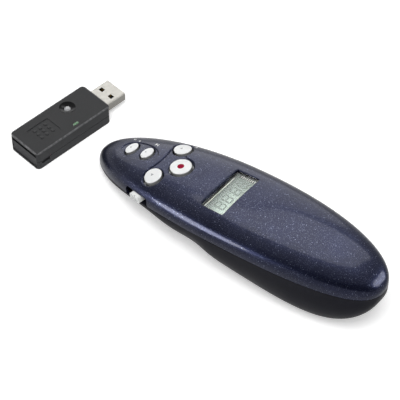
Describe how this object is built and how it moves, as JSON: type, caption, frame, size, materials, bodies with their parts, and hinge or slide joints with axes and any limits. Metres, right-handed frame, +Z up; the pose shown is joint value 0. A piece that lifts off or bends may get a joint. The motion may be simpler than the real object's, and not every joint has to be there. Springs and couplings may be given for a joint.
{
  "type": "wireless presenter with USB receiver",
  "caption": "Boat-shaped hand-held wireless presenter with white push keys, a small display, a side slide switch, a battery door and a separate USB receiver.",
  "frame": {"origin": "centre of the flat on the battery door that the handset rests on", "axes": "+X from the tail to the nose, +Y to the side with the slide switch, +Z up"},
  "size_m": [0.1843, 0.0564, 0.0335],
  "materials": {
    "top_shell": "navy blue metallic flake under gloss clear coat",
    "bottom_shell": "satin black moulded",
    "battery_door": "satin black moulded",
    "white_key": "semi-gloss white moulded",
    "key_dot": "printed red",
    "window_pane": "clear moulded pane",
    "mask_ink": "dark printed mask",
    "display_glass": "grey green display glass",
    "reflector": "light grey film",
    "holder": "natural white moulded",
    "zebra": "banded elastomer",
    "board": "green solder mask",
    "switch_body": "black switch housing",
    "plunger": "black moulded",
    "chip": "black epoxy",
    "crystal_can": "drawn can",
    "slide_knob": "light grey ribbed moulding",
    "slide_switch_metal": "stamped steel case",
    "laser_brass": "turned barrel",
    "laser_glass": "clear moulded lens",
    "exit_window": "smoked red window",
    "cell_can": "printed sleeve",
    "nickel": "nickel plated",
    "screw_steel": "zinc plated",
    "receiver_case": "fine textured charcoal",
    "plug_metal": "bright nickel sheet",
    "tongue": "black insulator",
    "gold": "gold plated contact",
    "grey_key": "mid grey moulded",
    "lamp": "green light pipe",
    "led": "surface mounted lamp"
  },
  "bodies": {
    "handset": {"top_cover": "top_shell", "bottom_shell": "bottom_shell", "lcd_window": "window_pane", "lcd_mask": "mask_ink", "lcd_glass": "display_glass", "lcd_reflector": "reflector", "lcd_holder": "holder", "zebra_strips": "zebra", "main_board": "board", "tact_switches": "switch_body", "control_chip": "chip", "crystal": "crystal_can", "slide_switch": "slide_switch_metal", "laser_barrel": "laser_brass", "laser_lens": "laser_glass", "laser_window": "exit_window", "battery_cans": "cell_can", "battery_tips": "nickel", "battery_springs": "nickel", "battery_terminals": "nickel", "battery_bridge": "nickel", "case_screws": "screw_steel"},
    "battery_door": {"battery_door": "battery_door"},
    "laser_button": {"laser_button": "white_key", "laser_button_dot": "key_dot", "laser_button_plunger": "plunger"},
    "left_button": {"left_button": "white_key", "left_button_plunger": "plunger"},
    "right_button": {"right_button": "white_key", "right_button_plunger": "plunger"},
    "front_small_button": {"front_small_button": "white_key", "front_small_button_plunger": "plunger"},
    "rear_small_button": {"rear_small_button": "white_key", "rear_small_button_plunger": "plunger"},
    "slide_knob": {"slide_knob": "slide_knob", "slide_lever": "plunger"},
    "receiver": {"receiver_top": "receiver_case", "receiver_base": "receiver_case", "receiver_end_cap": "receiver_case", "usb_shell": "plug_metal", "usb_tongue": "tongue", "usb_pins": "gold", "receiver_board": "board", "receiver_chips": "chip", "status_lamp": "lamp", "status_led": "led", "connect_switch": "switch_body"},
    "connect_button": {"connect_button": "grey_key", "connect_button_plunger": "plunger"}
  },
  "joints": [
    {"name": "laser_button_press", "type": "slide", "parent": "handset", "child": "laser_button", "axis": [-0.1959, 0, -0.9806], "range_m": [0, 0.0008], "stiffness_N_per_m": 900, "springref_m": -0.0006},
    {"name": "left_button_press", "type": "slide", "parent": "handset", "child": "left_button", "axis": [-0.1959, 0, -0.9806], "range_m": [0, 0.0008], "stiffness_N_per_m": 900, "springref_m": -0.0006},
    {"name": "right_button_press", "type": "slide", "parent": "handset", "child": "right_button", "axis": [-0.1959, 0, -0.9806], "range_m": [0, 0.0008], "stiffness_N_per_m": 900, "springref_m": -0.0006},
    {"name": "front_small_button_press", "type": "slide", "parent": "handset", "child": "front_small_button", "axis": [-0.1959, 0, -0.9806], "range_m": [0, 0.0008], "stiffness_N_per_m": 900, "springref_m": -0.0006},
    {"name": "rear_small_button_press", "type": "slide", "parent": "handset", "child": "rear_small_button", "axis": [-0.1959, 0, -0.9806], "range_m": [0, 0.0008], "stiffness_N_per_m": 900, "springref_m": -0.0006},
    {"name": "slide_switch_slide", "type": "slide", "parent": "handset", "child": "slide_knob", "axis": [0.9647, -0.1796, -0.1928], "range_m": [-0.0022, 0.0022]},
    {"name": "battery_door_pull", "type": "slide", "parent": "handset", "child": "battery_door", "axis": [0, 0, -1], "range_m": [0, 0.02]},
    {"name": "receiver_lift", "type": "slide", "parent": "handset", "child": "receiver", "axis": [0, 0, 1], "range_m": [0, 0.06]},
    {"name": "connect_button_press", "type": "slide", "parent": "receiver", "child": "connect_button", "axis": [0, 0, -1], "range_m": [0, 0.0005], "stiffness_N_per_m": 900, "springref_m": -0.0006}
  ]
}
